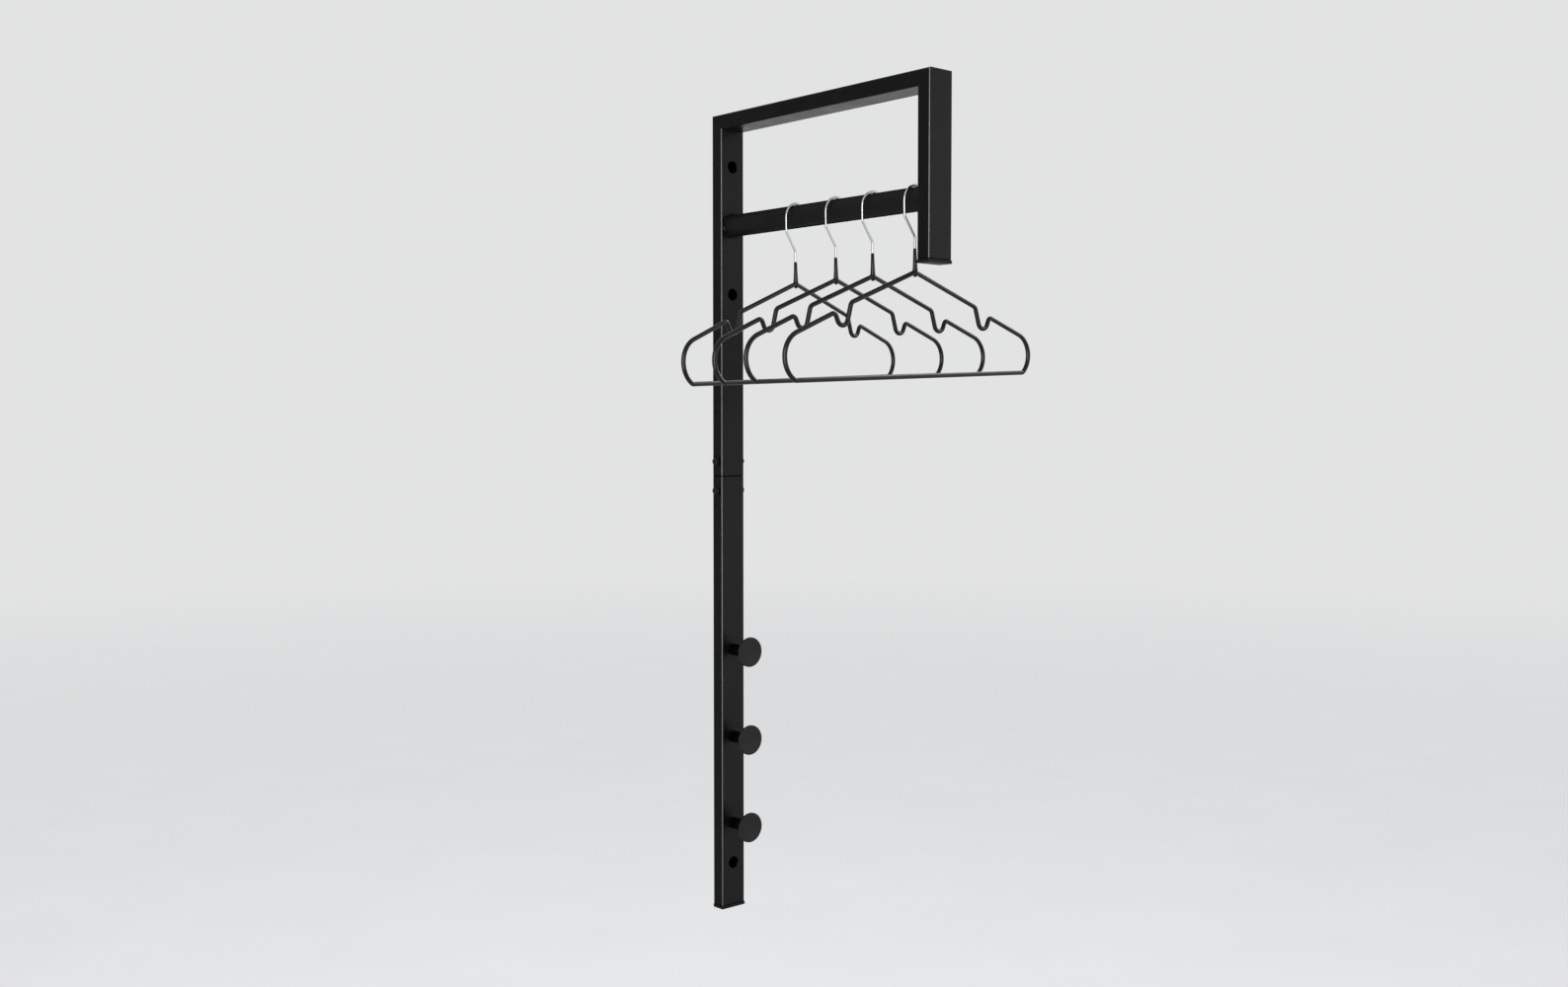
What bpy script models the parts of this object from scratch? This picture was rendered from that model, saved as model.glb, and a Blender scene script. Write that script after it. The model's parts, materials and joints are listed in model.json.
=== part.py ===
"""Wall coat rack: a flat steel post with an overhanging arm, a drop leg and a round rail between them,
three disc knobs low on the post, and four coated wire hangers on the rail.

The origin is on the wall, at the middle of the post's back face. X runs along the wall to the right,
+Y runs into the wall and +Z is up. All sizes are in metres.
"""

import math

import bmesh
import bpy
from mathutils import Vector

# Rack frame
RACK_HEIGHT = 1.101  # underside of the post's cap to the top of the arm
ARM_REACH = 0.408  # wall to the front of the drop leg
LEG_DROP = 0.2298  # top of the arm to the underside of the leg's cap
TUBE_WIDTH = 0.040
TUBE_DEPTH = 0.020
TUBE_WALL = 0.0015
TUBE_CORNER = 0.002  # outer radius of the tube's four edges
LEAST_CORNER = 0.0004  # inside corner where the wall is thicker than the outer radius
PIECE_GAP = 0.0003  # between pieces that touch

# Hanging rail
RAIL_DROP = 0.1501  # top of the arm to the rail's axis
RAIL_DIAMETER = 0.030
RAIL_WALL = 0.0015
WELD_LEG = 0.0025  # fillet weld at each end of the rail

# Joint between the two posts
SEAM_RISE = 0.6062  # underside of the post's cap to the seam
SEAM_GAP = 0.0006
SLEEVE_LENGTH = 0.110
SLEEVE_WALL = 0.002
SLEEVE_CLEARANCE = 0.0003
SCREW_OFFSET = 0.0203  # seam to a screw, up and down
SCREW_DIAMETER = 0.005
SCREW_POINT = 0.0015  # thread past the sleeve's inner face
SCREW_CLEARANCE = 0.0003
HEAD_DIAMETER = 0.0095
HEAD_HEIGHT = 0.0024
HEAD_LAND = 0.0008  # flat rim outside the corners of the socket
SOCKET_ACROSS = 0.003
SOCKET_DEPTH = 0.0015

# Wall fixing: a wide hole in the front wall lets the screw's head reach the back wall
UPPER_FIXING_DROP = 0.0696
MIDDLE_FIXING_DROP = 0.2442
LOWER_FIXING_RISE = 0.0634
ACCESS_HOLE = 0.0163
WALL_SCREW_HOLE = 0.007

# Tube end caps
CAP_FLANGE = 0.004
CAP_PROUD = 0.0008  # flange past the tube's faces, but flush on the wall side
CAP_CORNER = 0.0018
CAP_EDGE = 0.0008  # rounding of the flange's lower edge
CAP_PLUG = 0.018
CAP_WALL = 0.0016
CAP_FIN = 0.0008  # height of the fins that grip the tube
CAP_FIN_COUNT = 3

# Knobs
KNOB_COUNT = 3
FIRST_KNOB_RISE = 0.1196
KNOB_PITCH = 0.1222
KNOB_PROJECTION = 0.0374  # post's face to the front of the disc
KNOB_DIAMETER = 0.041
KNOB_THICKNESS = 0.003
KNOB_EDGE = 0.0008
STEM_DIAMETER = 0.0158
STUD_DIAMETER = 0.006
STUD_SEAT = 0.0018  # depth of the disc's blind hole
STUD_CLEARANCE = 0.0003
STUD_CHAMFER = 0.0006

# Rivet nuts that hold the knobs
NUT_DIAMETER = 0.009
NUT_FLANGE = 0.013
NUT_FLANGE_THICKNESS = 0.001
NUT_COLLAR = 0.012  # crimped collar behind the wall
NUT_COLLAR_LENGTH = 0.003
NUT_LENGTH = 0.014

# Hangers as they hang in rest, from the wall outwards
HANGER_TURNS = (7.6, 3.5, 1.3, 0.0)  # degrees about the vertical
HANGER_LEANS = (-1.5, -1.4, -1.3, -1.3)  # degrees about the rail, which lowers the left end
INNER_STEP = 0.0768  # first hanger to the second, along the rail
MIDDLE_STEP = 0.0668
OUTER_STEP = 0.0726
LAST_HANGER_GAP = 0.0205  # fourth hanger to the drop leg's back

# Hanger hook and the dipped neck that holds it, with heights from the crotch of the frame
NECK_DROP = 0.0877  # rail's axis to the crotch
HOOK_WIRE = 0.003
HOOK_CLEARANCE = 0.0004  # hook to rail
HOOK_TIP = 22  # degrees past level on the far side of the rail
HOOK_SAG = 0.0036  # rail's axis down to the middle of the hook's arc
HOOK_SHIFT = 0.003  # hanger's middle to the middle of that arc, which hangs under the rail's axis
HOOK_SIDE_DROP = 0.0205  # rail's axis down to the bend at the end of the hook's straight side
HOOK_SIDE_BEND = 0.0077
HOOK_BEND_RISE = 0.0423  # bend at the top of the hook's stem
HOOK_BEND_RADIUS = 0.0057
STEM_FOOT = 0.0057  # bottom of the stem's hole in the neck
NECK_RISE = 0.0283
NECK_CLEARANCE = 0.0002  # hook's stem to its hole
NECK_WALL = 0.0004  # coating round the hole at the neck's top
NECK_TAPER = 0.0006  # added to the radius at the neck's base
NECK_SWELL = 0.0008  # added again at the bulb over the crotch
NECK_FLARE = 0.0086  # where the bulb has narrowed to the neck's base
BULB_HEIGHT = 0.0036
NUB_DROP = 0.0061  # below the crotch
NUB_ROUND = 0.001

# Hanger frame, along the middle of its wire
FRAME_WIRE = 0.0052
CROTCH_BEND = 0.0057
NOTCH_REACH = 0.109  # middle of the hanger to the notch's inner lip
NOTCH_FALL = 0.0399  # crotch down to the inner lip
NOTCH_WIDTH = 0.0266  # inner lip to outer lip
NOTCH_STEP = 0.0121  # inner lip down to the outer lip
NOTCH_DEPTH = 0.0429  # inner lip down to the corner of the notch's floor
NOTCH_SLANT = 0.0126  # inner lip out to that corner
INNER_LIP_BEND = 0.0074
NOTCH_BEND = 0.0086
OUTER_LIP_BEND = 0.005
BAR_RUN = 0.0029  # round end to the corner of the bar
BAR_BEND = 0.0048

# Hanger ends: the left one is bent a little longer, so that the bar runs lower there
LEFT_SPAN = 0.2148  # middle of the hanger to its end
RIGHT_SPAN = 0.2119
LEFT_SLOPE = 21.5  # degrees of the shoulder from the notch to the end
RIGHT_SLOPE = 20.3
LEFT_END_BEND = 0.0305
RIGHT_END_BEND = 0.0279
LEFT_END_TURN = 55.3  # degrees that the round end runs on past its widest point
RIGHT_END_TURN = 48.0

# Facets
CORNER_STEPS = 3
BEND_STEP = 18  # degrees
HOOK_STEP = 12  # degrees
WIRE_SIDES = 8
NECK_SIDES = 12
RAIL_SIDES = 32
DISC_SIDES = 36
STEM_SIDES = 24
SMALL_SIDES = 12  # screws, studs, nuts and their holes, in sixes for the hexagon socket
ACCESS_SIDES = 24
SAME_POINT = 1e-6  # points nearer than this are one

# Places worked out from the sizes
TOP = RACK_HEIGHT / 2
BOTTOM = -RACK_HEIGHT / 2
SEAM = BOTTOM + SEAM_RISE
RAIL_AXIS = TOP - RAIL_DROP
RAIL_LENGTH = ARM_REACH - 2 * TUBE_DEPTH
MITRE_RELIEF = PIECE_GAP / math.sqrt(2)
HOOK_RADIUS = (RAIL_DIAMETER + HOOK_WIRE) / 2 + HOOK_CLEARANCE + HOOK_SAG
OUTWARD = (math.pi / 2, 0, 0)  # turns a piece's own +Z to point out of the wall


# Shapes


def circle(radius, height, sides):
    """Ring of points about the Z axis."""
    steps = (2 * math.pi * i / sides for i in range(sides))
    return [Vector((radius * math.cos(a), radius * math.sin(a), height)) for a in steps]


def hexagon(across, height, sides):
    """Hexagon with as many points as a circle of so many sides, which is a multiple of six."""
    ring = []
    for point in circle(1, height, sides):
        angle = math.atan2(point.y, point.x)
        off_flat = (angle + math.pi / 6) % (math.pi / 3) - math.pi / 6
        reach = across / 2 / math.cos(off_flat)
        ring.append(Vector((point.x * reach, point.y * reach, height)))
    return ring


def rounded_rectangle(x_size, y_size, radius, y_shift=0.0):
    """Outline of a tube's section, as (x, y) points."""
    points = []
    for quarter in range(4):
        sign_x = (1, -1, -1, 1)[quarter]
        sign_y = (1, 1, -1, -1)[quarter]
        centre_x = sign_x * (x_size / 2 - radius)
        centre_y = sign_y * (y_size / 2 - radius) + y_shift
        for step in range(CORNER_STEPS + 1):
            angle = math.pi / 2 * (quarter + step / CORNER_STEPS)
            points.append((centre_x + radius * math.cos(angle), centre_y + radius * math.sin(angle)))
    return points


def loft(rings, wrap=False):
    """Mesh through rings of equally many points, closed on itself with wrap and otherwise capped."""
    bm = bmesh.new()
    loops = [[bm.verts.new(point) for point in ring] for ring in rings]
    following = loops[1:] + loops[:1] if wrap else loops[1:]
    for lower, upper in zip(loops, following):
        for i in range(len(lower)):
            bm.faces.new((lower[i - 1], lower[i], upper[i], upper[i - 1]))
    if not wrap:
        bm.faces.new(loops[0])
        bm.faces.new(loops[-1])
    bmesh.ops.recalc_face_normals(bm, faces=bm.faces)
    mesh = bpy.data.meshes.new("loft")
    bm.to_mesh(mesh)
    bm.free()
    return mesh


def turned(profile, sides, wrap=False):
    """Solid turned about Z from (radius, height) points, closed on itself when it has a bore."""
    return loft([circle(radius, height, sides) for radius, height in profile], wrap)


def tube(x_size, y_size, wall, corner, start, end):
    """Rectangular tube along Z, whose ends are planes given as heights over the section's y."""
    outer = rounded_rectangle(x_size, y_size, corner)
    inner_corner = max(corner - wall, LEAST_CORNER)
    inner = rounded_rectangle(x_size - 2 * wall, y_size - 2 * wall, inner_corner)
    rings = []
    for outline, plane in ((outer, start), (outer, end), (inner, end), (inner, start)):
        rings.append([Vector((x, y, plane(y))) for x, y in outline])
    return loft(rings, wrap=True)


def rack_tube(start, end):
    """The rack's own tube section."""
    return tube(TUBE_WIDTH, TUBE_DEPTH, TUBE_WALL, TUBE_CORNER, start, end)


def filleted(corners):
    """Points along straight runs between corners, with an arc at each corner that has a radius."""
    points = []
    for i, (corner, radius) in enumerate(corners):
        back = (corners[i - 1][0] - corner).normalized()
        ahead = (corners[(i + 1) % len(corners)][0] - corner).normalized()
        if not radius:
            points.append(corner)
            continue
        half = back.angle(ahead) / 2
        centre = corner + (back + ahead).normalized() * (radius / math.sin(half))
        first = corner + back * (radius / math.tan(half)) - centre
        last = corner + ahead * (radius / math.tan(half)) - centre
        sweep = math.pi - 2 * half
        count = max(2, math.ceil(math.degrees(sweep) / BEND_STEP))
        for step in range(count + 1):
            angle = sweep * step / count
            along = first * math.sin(sweep - angle) + last * math.sin(angle)
            point = centre + along / math.sin(sweep)
            if not points or (point - points[-1]).length > SAME_POINT:
                points.append(point)
    return points


def wire(points, diameter, closed=False):
    """Round wire along points in the XZ plane."""
    across = Vector((0, 1, 0))
    rings = []
    for i, point in enumerate(points):
        before = points[i - 1] if closed or i else point
        after = points[(i + 1) % len(points)] if closed or i + 1 < len(points) else point
        into = (point - before).normalized()
        out = (after - point).normalized()
        normal = (into + out).normalized().cross(across)
        mitre = max(normal.dot(out.cross(across)), normal.dot(into.cross(across)))
        ring = []
        for offset in circle(diameter / 2, 0, WIRE_SIDES):
            ring.append(point + normal * (offset.x / mitre) + across * offset.y)
        rings.append(ring)
    return loft(rings, wrap=closed)


def combined(mesh, tools, operation):
    """The mesh with each tool mesh, at its place, cut out of it or joined to it."""
    body = bpy.data.objects.new("body", mesh)
    bpy.context.collection.objects.link(body)
    placed = [body]
    for tool_mesh, location, rotation in tools:
        tool = bpy.data.objects.new("tool", tool_mesh)
        tool.location = location
        tool.rotation_euler = rotation
        tool.hide_render = True
        tool.display_type = "WIRE"
        bpy.context.collection.objects.link(tool)
        placed.append(tool)
        step = body.modifiers.new("step", "BOOLEAN")
        step.operation = operation
        step.solver = "EXACT"
        step.object = tool
    view = bpy.context.evaluated_depsgraph_get()
    result = bpy.data.meshes.new_from_object(body.evaluated_get(view))
    for obj in placed:
        bpy.data.objects.remove(obj)
    return result


def drill(diameter, length, sides=SMALL_SIDES):
    """Cutter for a round hole along Z, centred on its own origin."""
    return turned(((diameter / 2, -length / 2), (diameter / 2, length / 2)), sides)


# Materials


def finish(name, colour, roughness, metallic):
    material = bpy.data.materials.new(name)
    material.use_nodes = True
    shader = material.node_tree.nodes["Principled BSDF"]
    shader.inputs["Base Color"].default_value = (*colour, 1)
    shader.inputs["Roughness"].default_value = roughness
    shader.inputs["Metallic"].default_value = metallic
    return material


def place(name, mesh, material, location=(0, 0, 0), rotation=(0, 0, 0), parent=None, sharp=35):
    """Adds a named piece, shaded smooth up to so many degrees."""
    mesh.name = name
    mesh.materials.clear()
    mesh.materials.append(material)
    mesh.shade_smooth()
    mesh.set_sharp_from_angle(angle=math.radians(sharp))
    obj = bpy.data.objects.new(name, mesh)
    obj.location = location
    obj.rotation_euler = rotation
    obj.parent = parent
    bpy.context.collection.objects.link(obj)
    return obj


# Rack frame


def fixing_drills(height):
    """Wide hole in the front wall and screw hole in the back wall, in the post's own frame."""
    front = (drill(ACCESS_HOLE, TUBE_DEPTH, ACCESS_SIDES), (0, -TUBE_DEPTH / 2, height), OUTWARD)
    back = (drill(WALL_SCREW_HOLE, TUBE_DEPTH), (0, TUBE_DEPTH / 2, height), OUTWARD)
    return [front, back]


def side_drill(height):
    """Hole for a joint screw through both side walls."""
    hole = drill(SCREW_DIAMETER + 2 * SCREW_CLEARANCE, 2 * TUBE_WIDTH)
    return (hole, (0, 0, height), (0, math.pi / 2, 0))


def knob_heights():
    return [BOTTOM + FIRST_KNOB_RISE + i * KNOB_PITCH for i in range(KNOB_COUNT)]


def make_upper_post(coat):
    blank = rack_tube(
        lambda y: SEAM + SEAM_GAP / 2,
        lambda y: TOP - TUBE_DEPTH / 2 + y - MITRE_RELIEF,
    )
    holes = fixing_drills(TOP - UPPER_FIXING_DROP) + fixing_drills(TOP - MIDDLE_FIXING_DROP)
    holes.append(side_drill(SEAM + SCREW_OFFSET))
    place("upper_post", combined(blank, holes, "DIFFERENCE"), coat, (0, -TUBE_DEPTH / 2, 0))


def make_lower_post(coat):
    blank = rack_tube(
        lambda y: BOTTOM + CAP_FLANGE + PIECE_GAP,
        lambda y: SEAM - SEAM_GAP / 2,
    )
    holes = fixing_drills(BOTTOM + LOWER_FIXING_RISE)
    holes.append(side_drill(SEAM - SCREW_OFFSET))
    for height in knob_heights():
        nut_hole = drill(NUT_DIAMETER + 2 * PIECE_GAP, TUBE_DEPTH)
        holes.append((nut_hole, (0, -TUBE_DEPTH / 2, height), OUTWARD))
    place("lower_post", combined(blank, holes, "DIFFERENCE"), coat, (0, -TUBE_DEPTH / 2, 0))


def make_top_arm(coat):
    mesh = rack_tube(
        lambda y: TUBE_DEPTH / 2 - y + MITRE_RELIEF,
        lambda y: ARM_REACH - TUBE_DEPTH / 2 + y - MITRE_RELIEF,
    )
    place("top_arm", mesh, coat, (0, 0, TOP - TUBE_DEPTH / 2), OUTWARD)


def make_drop_leg(coat):
    mesh = rack_tube(
        lambda y: TOP - LEG_DROP + CAP_FLANGE + PIECE_GAP,
        lambda y: TOP - TUBE_DEPTH / 2 - y - MITRE_RELIEF,
    )
    place("drop_leg", mesh, coat, (0, TUBE_DEPTH / 2 - ARM_REACH, 0))


def weld_fillet(end, direction):
    """Hollow fillet from the wall of the tube it meets to the rail's own surface."""
    profile = []
    for step in range(CORNER_STEPS + 1):
        angle = math.pi / 2 * step / CORNER_STEPS
        radius = RAIL_DIAMETER / 2 + WELD_LEG * (1 - math.sin(angle))
        profile.append((radius, end + direction * WELD_LEG * (1 - math.cos(angle))))
    return profile


def make_hanging_rail(coat):
    near = PIECE_GAP
    far = RAIL_LENGTH - PIECE_GAP
    bore = RAIL_DIAMETER / 2 - RAIL_WALL
    outside = weld_fillet(near, 1) + weld_fillet(far, -1)[::-1]
    mesh = turned(outside + [(bore, far), (bore, near)], RAIL_SIDES, wrap=True)
    place("hanging_rail", mesh, coat, (0, -TUBE_DEPTH, RAIL_AXIS), OUTWARD)


# Joint between the posts


def make_joint_sleeve(steel):
    inset = 2 * (TUBE_WALL + SLEEVE_CLEARANCE)
    corner = max(TUBE_CORNER - TUBE_WALL, LEAST_CORNER)
    blank = tube(
        TUBE_WIDTH - inset,
        TUBE_DEPTH - inset,
        SLEEVE_WALL,
        corner,
        lambda y: SEAM - SLEEVE_LENGTH / 2,
        lambda y: SEAM + SLEEVE_LENGTH / 2,
    )
    holes = [side_drill(SEAM + SCREW_OFFSET), side_drill(SEAM - SCREW_OFFSET)]
    place("joint_sleeve", combined(blank, holes, "DIFFERENCE"), steel, (0, -TUBE_DEPTH / 2, 0))


def joint_screw_mesh():
    """Button head screw along Z, with the underside of its head at the origin and a hexagon socket."""
    shank = SCREW_DIAMETER / 2
    length = TUBE_WALL + SLEEVE_CLEARANCE + SLEEVE_WALL + SCREW_POINT
    rim = SOCKET_ACROSS / math.sqrt(3) + HEAD_LAND
    rings = [
        circle(shank - SCREW_CLEARANCE, -length, SMALL_SIDES),
        circle(shank, SCREW_CLEARANCE - length, SMALL_SIDES),
        circle(shank, 0, SMALL_SIDES),
    ]
    for step in range(CORNER_STEPS + 1):
        angle = math.pi / 2 * step / CORNER_STEPS
        radius = rim + (HEAD_DIAMETER / 2 - rim) * math.cos(angle)
        rings.append(circle(radius, HEAD_HEIGHT * math.sin(angle), SMALL_SIDES))
    rings.append(hexagon(SOCKET_ACROSS, HEAD_HEIGHT, SMALL_SIDES))
    rings.append(hexagon(SOCKET_ACROSS, HEAD_HEIGHT - SOCKET_DEPTH, SMALL_SIDES))
    return loft(rings)


def make_joint_screws(steel):
    mesh = joint_screw_mesh()
    for side, sign in (("left", -1), ("right", 1)):
        for level, offset in (("upper", SCREW_OFFSET), ("lower", -SCREW_OFFSET)):
            location = (sign * (TUBE_WIDTH / 2 + PIECE_GAP), -TUBE_DEPTH / 2, SEAM + offset)
            place(f"joint_screw_{side}_{level}", mesh, steel, location, (0, sign * math.pi / 2, 0))


# End caps


def cap_mesh(wall_side_proud):
    """Tube plug pointing up from the flange, with fins round a hollow core and its mouth open at the top."""
    fit = 2 * (TUBE_WALL + SLEEVE_CLEARANCE)
    core_x = TUBE_WIDTH - fit - 2 * CAP_FIN
    core_y = TUBE_DEPTH - fit - 2 * CAP_FIN
    flange_x = TUBE_WIDTH + 2 * CAP_PROUD
    flange_y = TUBE_DEPTH + CAP_PROUD + wall_side_proud
    flange_shift = (wall_side_proud - CAP_PROUD) / 2

    def flange(inset, height):
        x_size = flange_x - 2 * inset
        y_size = flange_y - 2 * inset
        outline = rounded_rectangle(x_size, y_size, CAP_CORNER - inset, flange_shift)
        return [Vector((x, y, height)) for x, y in outline]

    def section(grow, height):
        radius = max(TUBE_CORNER - TUBE_WALL + grow, LEAST_CORNER)
        outline = rounded_rectangle(core_x + 2 * grow, core_y + 2 * grow, radius)
        return [Vector((x, y, height)) for x, y in outline]

    rings = []
    for step in range(CORNER_STEPS + 1):
        angle = math.pi / 2 * step / CORNER_STEPS
        rings.append(flange(CAP_EDGE * (1 - math.sin(angle)), CAP_EDGE * (1 - math.cos(angle))))
    rings.append(flange(0, CAP_FLANGE))
    rings.append(section(0, CAP_FLANGE))
    fin_step = CAP_PLUG / (CAP_FIN_COUNT + 1)
    for i in range(CAP_FIN_COUNT):
        height = CAP_FLANGE + fin_step * (i + 1)
        rings.append(section(0, height - CAP_FIN))
        rings.append(section(CAP_FIN, height))
        rings.append(section(0, height + CAP_FIN))
    rings.append(section(0, CAP_FLANGE + CAP_PLUG))
    rings.append(section(-CAP_WALL, CAP_FLANGE + CAP_PLUG))
    rings.append(section(-CAP_WALL, CAP_FLANGE))
    return loft(rings)


def make_end_caps(plastic):
    place("post_end_cap", cap_mesh(0), plastic, (0, -TUBE_DEPTH / 2, BOTTOM))
    leg_place = (0, TUBE_DEPTH / 2 - ARM_REACH, TOP - LEG_DROP)
    place("leg_end_cap", cap_mesh(CAP_PROUD), plastic, leg_place)


# Knobs


def knob_disc_mesh():
    """Round plate with its front at the top, eased edges and a blind hole for the stud in its back."""
    hole = STUD_DIAMETER / 2 + STUD_CLEARANCE
    radius = KNOB_DIAMETER / 2
    back = KNOB_PROJECTION - KNOB_THICKNESS
    profile = [(hole, back + STUD_SEAT), (hole, back)]
    for middle, start in ((back + KNOB_EDGE, -90), (KNOB_PROJECTION - KNOB_EDGE, 0)):
        for step in range(CORNER_STEPS + 1):
            angle = math.radians(start + 90 * step / CORNER_STEPS)
            reach = radius - KNOB_EDGE + KNOB_EDGE * math.cos(angle)
            profile.append((reach, middle + KNOB_EDGE * math.sin(angle)))
    return turned(profile, DISC_SIDES)


def knob_stem_mesh():
    """Round spacer with a bore for the stud and a recess over the nut's flange."""
    outer = STEM_DIAMETER / 2
    bore = STUD_DIAMETER / 2 + STUD_CLEARANCE
    recess = NUT_FLANGE / 2 + PIECE_GAP
    floor = NUT_FLANGE_THICKNESS + 2 * PIECE_GAP
    start = PIECE_GAP
    end = KNOB_PROJECTION - KNOB_THICKNESS - PIECE_GAP
    profile = [(outer, start), (outer, end), (bore, end), (bore, floor), (recess, floor), (recess, start)]
    return turned(profile, STEM_SIDES, wrap=True)


def knob_stud_mesh():
    """Threaded stud from the bottom of the disc's hole to near the end of the nut."""
    radius = STUD_DIAMETER / 2
    start = TUBE_WALL - NUT_LENGTH
    end = KNOB_PROJECTION - KNOB_THICKNESS + STUD_SEAT - PIECE_GAP
    profile = [
        (radius - STUD_CHAMFER, start),
        (radius, start + STUD_CHAMFER),
        (radius, end - STUD_CHAMFER),
        (radius - STUD_CHAMFER, end),
    ]
    return turned(profile, SMALL_SIDES)


def rivet_nut_mesh():
    """Flanged insert through the post's front wall, with its crimped collar behind the wall."""
    flange = NUT_FLANGE / 2
    body = NUT_DIAMETER / 2
    collar = NUT_COLLAR / 2
    bore = STUD_DIAMETER / 2 + STUD_CLEARANCE
    outer_face = PIECE_GAP + NUT_FLANGE_THICKNESS
    inner_face = -TUBE_WALL - PIECE_GAP
    end = PIECE_GAP - NUT_LENGTH
    profile = [
        (bore, outer_face),
        (flange, outer_face),
        (flange, PIECE_GAP),
        (body, PIECE_GAP),
        (body, inner_face),
        (collar, inner_face),
        (body, inner_face - NUT_COLLAR_LENGTH),
        (body, end),
        (bore, end),
    ]
    return turned(profile[::-1], SMALL_SIDES, wrap=True)


def make_knobs(coat, gloss, steel):
    disc = knob_disc_mesh()
    stem = knob_stem_mesh()
    stud = knob_stud_mesh()
    nut = rivet_nut_mesh()
    for number, height in enumerate(knob_heights()[::-1], 1):
        location = (0, -TUBE_DEPTH, height)
        place(f"knob_disc_{number}", disc, coat, location, OUTWARD)
        place(f"knob_stem_{number}", stem, gloss, location, OUTWARD)
        place(f"knob_stud_{number}", stud, steel, location, OUTWARD)
        place(f"rivet_nut_{number}", nut, steel, location, OUTWARD)


# Hangers, each in its own frame with the rail's axis as the origin


def hanger_corners(span, slope_degrees, end_bend, turn_degrees):
    """Corners of half a frame: out from the middle, down from the crotch, and bend radius."""
    slope = math.radians(slope_degrees)
    turn = math.radians(turn_degrees)
    lip_out = NOTCH_REACH + NOTCH_WIDTH
    lip_down = NOTCH_FALL + NOTCH_STEP

    # The round end touches the shoulder's line and is widest at the span
    end_out = span - end_bend
    end_down = lip_down + (end_bend + (end_out - lip_out) * math.sin(slope)) / math.cos(slope)
    sweep = math.pi / 2 + turn - slope
    aim = turn - sweep / 2
    corner_reach = end_bend / math.cos(sweep / 2)

    # The bar's corner lies on the round end's last tangent
    bar_out = end_out + end_bend * math.cos(turn) - BAR_RUN * math.sin(turn)
    bar_down = end_down + end_bend * math.sin(turn) + BAR_RUN * math.cos(turn)
    return (
        (0, 0, CROTCH_BEND),
        (NOTCH_REACH, NOTCH_FALL, INNER_LIP_BEND),
        (NOTCH_REACH + NOTCH_SLANT, NOTCH_FALL + NOTCH_DEPTH, NOTCH_BEND),
        (lip_out, lip_down, OUTER_LIP_BEND),
        (end_out + corner_reach * math.cos(aim), end_down + corner_reach * math.sin(aim), end_bend),
        (bar_out, bar_down, BAR_BEND),
    )


def hanger_frame_mesh():
    """One closed loop of coated wire with a notch in each shoulder, and the dipped neck over its crotch."""
    right = hanger_corners(RIGHT_SPAN, RIGHT_SLOPE, RIGHT_END_BEND, RIGHT_END_TURN)
    left = hanger_corners(LEFT_SPAN, LEFT_SLOPE, LEFT_END_BEND, LEFT_END_TURN)
    corners = [(Vector((out, 0, -NECK_DROP - down)), radius) for out, down, radius in right]
    corners += [(Vector((-out, 0, -NECK_DROP - down)), radius) for out, down, radius in left[:0:-1]]
    loop = wire(filleted(corners), FRAME_WIRE, closed=True)
    hole = HOOK_WIRE / 2 + NECK_CLEARANCE
    neck_top = hole + NECK_WALL
    neck_base = neck_top + NECK_TAPER
    bulb = neck_base + NECK_SWELL
    neck = turned(
        (
            (neck_top - NUB_ROUND, -NUB_DROP),
            (neck_top, NUB_ROUND - NUB_DROP),
            (bulb, -BULB_HEIGHT / 2),
            (bulb, BULB_HEIGHT / 2),
            (neck_base, NECK_FLARE),
            (neck_top, NECK_RISE),
        ),
        NECK_SIDES,
    )
    stem_hole = turned(((hole, STEM_FOOT), (hole, 2 * NECK_RISE)), WIRE_SIDES)
    crotch = (0, 0, -NECK_DROP)
    joined = combined(loop, [(neck, crotch, (0, 0, 0))], "UNION")
    return combined(joined, [(stem_hole, crotch, (0, 0, 0))], "DIFFERENCE")


def hanger_hook_mesh():
    """Stem, bend, slanting run, bend, upright side, and the arc over the rail as the side's tangent."""
    foot = Vector((0, 0, STEM_FOOT + PIECE_GAP - NECK_DROP))
    bend = Vector((0, 0, HOOK_BEND_RISE - NECK_DROP))
    side = Vector((HOOK_SHIFT - HOOK_RADIUS, 0, -HOOK_SIDE_DROP))
    middle = Vector((HOOK_SHIFT, 0, -HOOK_SAG))
    arc = math.pi + math.radians(HOOK_TIP)
    count = math.ceil(math.degrees(arc) / HOOK_STEP)
    over = []
    for step in range(count + 1):
        angle = math.pi - arc * step / count
        over.append(middle + Vector((math.cos(angle), 0, math.sin(angle))) * HOOK_RADIUS)
    rise = filleted([(foot, 0), (bend, HOOK_BEND_RADIUS), (side, HOOK_SIDE_BEND), (over[0], 0)])
    return wire(rise + over[1:], HOOK_WIRE)


def hanger_places():
    """Distance of each hanger from the wall, along Y."""
    places = [TUBE_DEPTH + LAST_HANGER_GAP - ARM_REACH]
    for step in (OUTER_STEP, MIDDLE_STEP, INNER_STEP):
        places.insert(0, places[0] + step)
    return places


def make_hangers(coating, chrome):
    frame = hanger_frame_mesh()
    hook = hanger_hook_mesh()
    for i, along in enumerate(hanger_places()):
        pivot = bpy.data.objects.new(f"hanger_{i + 1}_pivot", None)
        pivot.location = (-HOOK_SHIFT, along, RAIL_AXIS)
        pivot.rotation_euler = (0, math.radians(HANGER_LEANS[i]), math.radians(HANGER_TURNS[i]))
        bpy.context.collection.objects.link(pivot)
        place(f"hanger_{i + 1}_frame", frame, coating, parent=pivot, sharp=55)
        place(f"hanger_{i + 1}_hook", hook, chrome, parent=pivot, sharp=55)


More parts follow.
